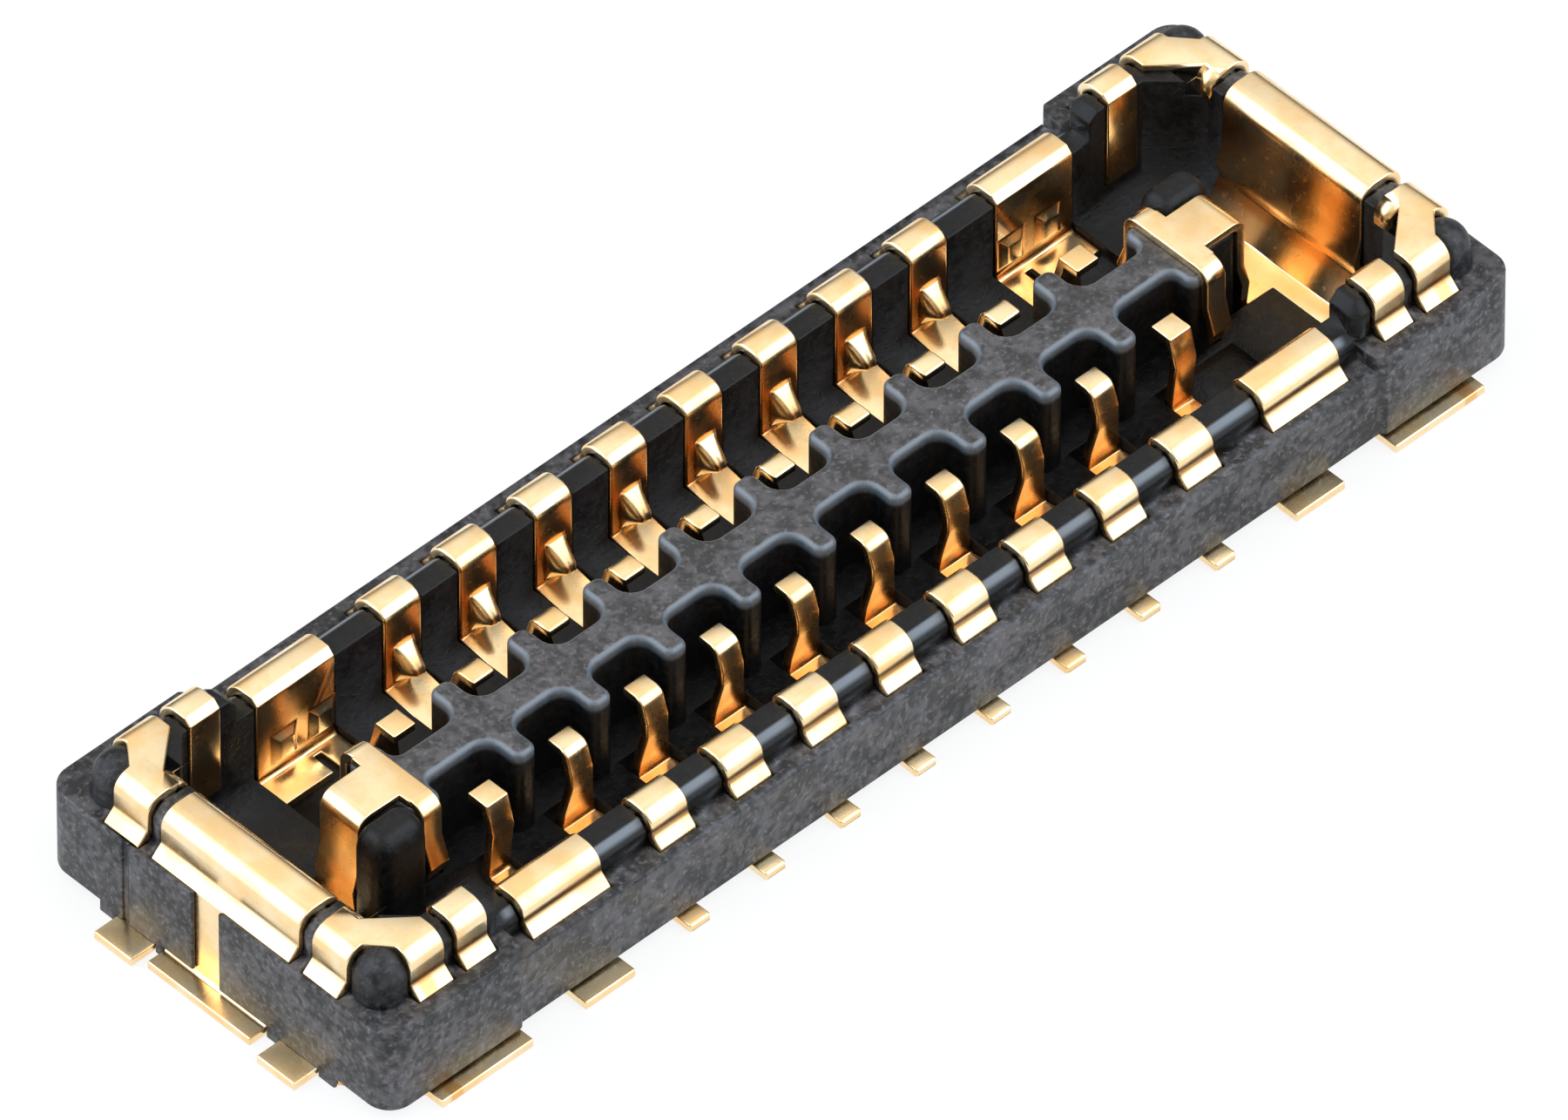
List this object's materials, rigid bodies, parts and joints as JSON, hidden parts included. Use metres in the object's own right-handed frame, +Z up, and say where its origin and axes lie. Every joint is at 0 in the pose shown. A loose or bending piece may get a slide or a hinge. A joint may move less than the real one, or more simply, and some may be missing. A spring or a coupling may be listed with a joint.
{
  "type": "board to board connector receptacle",
  "caption": "Surface-mount board to board connector receptacle: dark moulded housing, two rows of gold contacts and stamped end fittings.",
  "frame": {"origin": "middle of the footprint on the solder plane", "axes": "+X along the contact rows, +Y across them, +Z up from the circuit board towards the mating side"},
  "size_m": [0.0054, 0.0018, 0.0006],
  "materials": {
    "moulding": "satin dark grey moulding",
    "contact_plating": "bright gold plated copper alloy",
    "fitting_plating": "bright gold plated copper alloy"
  },
  "bodies": {
    "root": {"housing": "moulding", "signal_contact_far_1": "contact_plating", "signal_contact_far_2": "contact_plating", "signal_contact_far_3": "contact_plating", "signal_contact_far_4": "contact_plating", "signal_contact_far_5": "contact_plating", "signal_contact_far_6": "contact_plating", "signal_contact_far_7": "contact_plating", "signal_contact_far_8": "contact_plating", "signal_contact_near_1": "contact_plating", "signal_contact_near_2": "contact_plating", "signal_contact_near_3": "contact_plating", "signal_contact_near_4": "contact_plating", "signal_contact_near_5": "contact_plating", "signal_contact_near_6": "contact_plating", "signal_contact_near_7": "contact_plating", "signal_contact_near_8": "contact_plating", "power_contact_far_right": "contact_plating", "power_contact_near_left": "contact_plating", "power_contact_near_right": "contact_plating", "power_contact_far_left": "contact_plating", "end_fitting_right": "fitting_plating", "end_fitting_left": "fitting_plating"}
  },
  "joints": []
}
